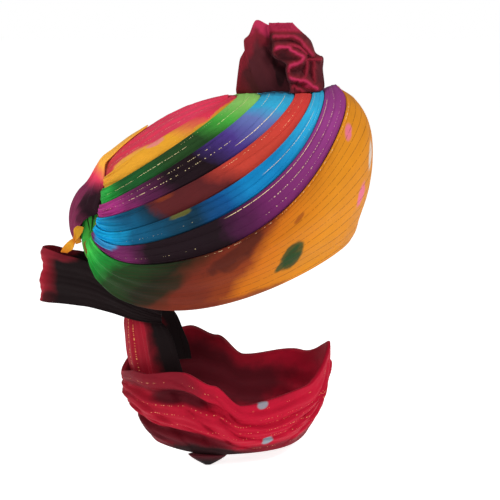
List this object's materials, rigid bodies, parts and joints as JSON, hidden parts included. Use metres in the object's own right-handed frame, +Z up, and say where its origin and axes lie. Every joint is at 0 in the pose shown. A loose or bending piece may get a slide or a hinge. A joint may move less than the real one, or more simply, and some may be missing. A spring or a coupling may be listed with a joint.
{
  "type": "tied turban pagri with tail",
  "caption": "Wound cloth turban in dyed pleated passes, with a standing ruffled crest, a gathered knot behind, and a long tail that drops from the knot and wraps loosely round the neck.",
  "frame": {"origin": "middle of the head opening, where the turban sits on the head", "axes": "+Z up, -Y the way the wearer faces, -X the wearer's right side"},
  "size_m": [0.2448, 0.3653, 0.4699],
  "materials": {
    "cloth_orange": "fine cotton, tie-dyed orange with brown and green patches",
    "cloth_purple": "fine cotton, purple running to dark plum, gold thread lines",
    "cloth_blue": "fine cotton, turquoise blue, gold thread lines",
    "cloth_red": "fine cotton, brick red running to blue",
    "cloth_violet": "fine cotton, periwinkle running to plum",
    "cloth_green": "fine cotton, leaf green",
    "cloth_yellow": "fine cotton, yellow orange",
    "cloth_pink": "fine cotton, crimson pink, gold thread lines",
    "cloth_plum": "fine cotton, orange running to plum",
    "cloth_crimson": "fine cotton, crimson with gold thread lines"
  },
  "bodies": {
    "root": {"front_band": "cloth_orange", "wrap_purple": "cloth_purple", "wrap_blue": "cloth_blue", "wrap_red": "cloth_red", "wrap_violet": "cloth_violet", "wrap_green": "cloth_green", "wrap_yellow": "cloth_yellow", "crown": "cloth_pink", "back_fold": "cloth_plum", "knot": "cloth_green", "crest": "cloth_crimson", "tail_loop": "cloth_crimson", "tail_drop": "cloth_crimson", "neck_wrap": "cloth_crimson", "tail_tip": "cloth_crimson"}
  },
  "joints": []
}
